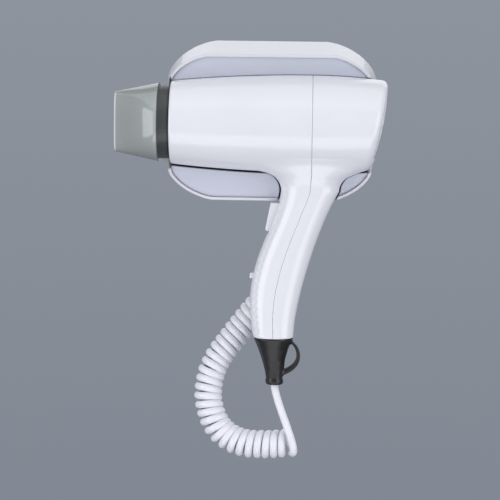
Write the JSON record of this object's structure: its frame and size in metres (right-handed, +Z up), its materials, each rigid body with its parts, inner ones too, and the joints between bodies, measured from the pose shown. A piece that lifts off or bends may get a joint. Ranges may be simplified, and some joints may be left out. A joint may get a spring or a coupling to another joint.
{
  "type": "wall-mounted hair dryer",
  "caption": "Hotel style hair dryer: handset with clear flat nozzle, trigger and filter cap, resting in a flared wall holder and joined to it by a curly cord.",
  "frame": {"origin": "centre of the wall plate's screw pattern, on the wall plane at the back of the holder", "axes": "+Y into the wall, +Z up, -X along the barrel towards the nozzle, the handset stands out towards -Y"},
  "size_m": [0.2246, 0.088, 0.3492],
  "materials": {
    "white_casing": "glossy white moulded casing",
    "holder_white": "satin white moulded shell",
    "liner_grey": "satin pale bluish grey moulding",
    "plate_steel": "zinc plated sheet",
    "screw_steel": "zinc plated",
    "block_cream": "cream moulded",
    "lead_blue": "insulated wire",
    "lead_dark": "insulated wire",
    "cord_white": "satin white flexible sheath",
    "inner_grey": "moulded",
    "black_plastic": "black moulded",
    "relief_black": "satin black flexible moulding",
    "mica": "mica sheet",
    "heater_wire": "oxidised resistance wire",
    "thermostat_metal": "bare",
    "motor_steel": "drawn can",
    "magnet_grey": "ferrite",
    "bush_brass": "sintered",
    "winding_copper": "enamelled winding",
    "board_green": "circuit board",
    "cap_white": "satin white grille",
    "mesh_grey": "woven filter",
    "smoke_clear": "clear smoke moulding",
    "trigger_white": "glossy white moulding",
    "capacitor_yellow": "dipped"
  },
  "bodies": {
    "holder": {"wall_plate": "plate_steel", "holder_shell": "holder_white", "cradle_liner": "liner_grey", "holder_screws": "screw_steel", "terminal_block": "block_cream", "holder_leads": "lead_blue", "cord_gland": "cord_white", "holder_cord_clamp": "inner_grey", "holder_clamp_screws": "screw_steel", "cord_coil": "cord_white", "cord_lead": "cord_white"},
    "handset": {"front_housing": "white_casing", "rear_housing": "white_casing", "housing_screws": "screw_steel", "outlet_collar": "black_plastic", "outlet_grille": "black_plastic", "heater_sleeve": "mica", "mica_boards": "mica", "heating_coils": "heater_wire", "thermostat": "thermostat_metal", "thermal_fuse": "thermostat_metal", "fan_duct": "inner_grey", "motor_can": "motor_steel", "motor_magnets": "magnet_grey", "motor_end_cap": "black_plastic", "motor_bushes": "bush_brass", "rectifier_board": "board_green", "trigger_pin": "screw_steel", "trigger_spring": "screw_steel", "microswitch": "black_plastic", "slide_switch": "black_plastic", "noise_capacitor": "capacitor_yellow", "handle_leads": "lead_dark", "strain_relief": "relief_black", "handset_cord_clamp": "inner_grey", "handset_clamp_screws": "screw_steel", "cord_tail": "cord_white"},
    "fan": {"motor_shaft": "motor_steel", "motor_rotor": "winding_copper", "impeller": "inner_grey"},
    "nozzle": {"nozzle": "smoke_clear"},
    "filter_cap": {"filter_cap": "cap_white", "filter_mesh": "mesh_grey"},
    "trigger": {"trigger": "trigger_white"},
    "speed_slider": {"speed_slider": "trigger_white"}
  },
  "joints": [
    {"name": "lift_off", "type": "slide", "parent": "holder", "child": "handset", "axis": [0, -0.9986, 0.0523], "range_m": [0, 0.09]},
    {"name": "fan_spin", "type": "hinge", "parent": "handset", "child": "fan", "pos_m": [0.053, -0.048, -0.0026], "axis": [1, 0, 0], "continuous": true},
    {"name": "nozzle_turn", "type": "hinge", "parent": "handset", "child": "nozzle", "pos_m": [-0.09, -0.048, -0.0026], "axis": [1, 0, 0], "continuous": true},
    {"name": "cap_twist", "type": "hinge", "parent": "handset", "child": "filter_cap", "pos_m": [0.0899, -0.048, -0.0026], "axis": [0.9833, 0, -0.1822], "range_deg": [0, 30]},
    {"name": "trigger_press", "type": "hinge", "parent": "handset", "child": "trigger", "pos_m": [0.0035, -0.048, -0.088], "axis": [0, 1, 0], "range_deg": [0, 7], "stiffness_Nm_per_rad": 0.15, "springref_deg": -6.88},
    {"name": "speed_select", "type": "slide", "parent": "handset", "child": "speed_slider", "axis": [0, 0, 1], "range_m": [-0.003, 0.003]}
  ]
}
